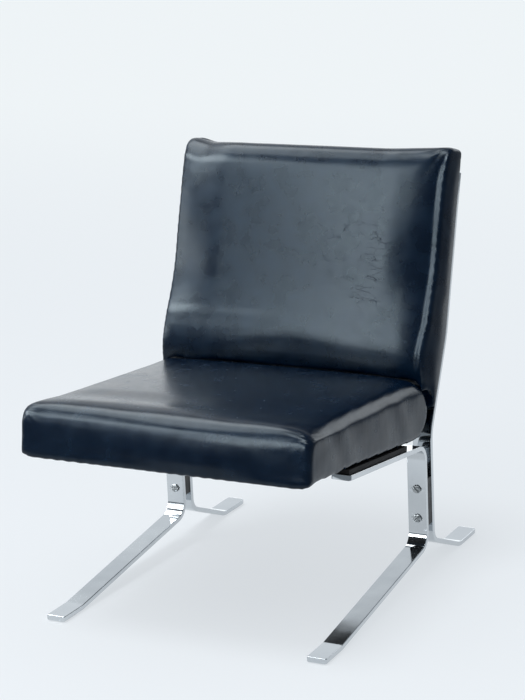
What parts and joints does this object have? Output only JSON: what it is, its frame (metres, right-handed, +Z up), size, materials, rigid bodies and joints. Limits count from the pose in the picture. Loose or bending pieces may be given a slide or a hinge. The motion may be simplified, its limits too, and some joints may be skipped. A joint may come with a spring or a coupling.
{
  "type": "lounge_chair",
  "caption": "Cantilever lounge chair: bent chromed flat-bar side frames carry a thick padded seat and a leaning back in black leather",
  "frame": {"origin": "middle of the chair's footprint, on the floor", "axes": "+Z up; the chair faces -Y; +X is the side of the frame that stands nearest in the picture"},
  "size_m": [0.6, 0.8298, 0.8522],
  "materials": {
    "chrome_steel": "polished chrome plate on flat steel bar",
    "black_block": "satin black lacquer",
    "black_glide": "matt black",
    "black_batten": "black stained and lacquered",
    "black_leather": "smooth semi-gloss black leather with fine creases",
    "webbing": "ribbed upholstery webbing",
    "foam": "open-cell foam",
    "black_cloth": "thin woven black lining",
    "bare_wood": "planed, uncoated",
    "zinc_steel": "bright zinc plate"
  },
  "bodies": {
    "root": {"front_bar_right": "chrome_steel", "rear_bar_right": "chrome_steel", "post_spacer_right": "black_block", "post_screw_upper_right": "chrome_steel", "post_screw_lower_right": "chrome_steel", "foot_glide_front_right": "black_glide", "foot_glide_rear_right": "black_glide", "front_bar_left": "chrome_steel", "rear_bar_left": "chrome_steel", "post_spacer_left": "black_block", "post_screw_upper_left": "chrome_steel", "post_screw_lower_left": "chrome_steel", "foot_glide_front_left": "black_glide", "foot_glide_rear_left": "black_glide", "seat_cover": "black_leather", "seat_foam": "foam", "seat_rail_front": "bare_wood", "seat_rail_rear": "bare_wood", "seat_rail_right": "bare_wood", "seat_batten_right": "black_batten", "seat_tee_nut_front_right": "zinc_steel", "seat_screw_front_right": "zinc_steel", "seat_tee_nut_rear_right": "zinc_steel", "seat_screw_rear_right": "zinc_steel", "seat_rail_left": "bare_wood", "seat_batten_left": "black_batten", "seat_tee_nut_front_left": "zinc_steel", "seat_screw_front_left": "zinc_steel", "seat_tee_nut_rear_left": "zinc_steel", "seat_screw_rear_left": "zinc_steel", "seat_webbing_1": "webbing", "seat_webbing_2": "webbing", "seat_webbing_3": "webbing", "seat_webbing_4": "webbing", "seat_webbing_5": "webbing", "seat_dust_cover": "black_cloth", "back_cover": "black_leather", "back_foam": "foam", "back_board": "bare_wood", "back_rear_panel": "black_leather", "back_tee_nut_lower_right": "zinc_steel", "back_screw_lower_right": "zinc_steel", "back_tee_nut_upper_right": "zinc_steel", "back_screw_upper_right": "zinc_steel", "back_tee_nut_lower_left": "zinc_steel", "back_screw_lower_left": "zinc_steel", "back_tee_nut_upper_left": "zinc_steel", "back_screw_upper_left": "zinc_steel"}
  },
  "joints": []
}
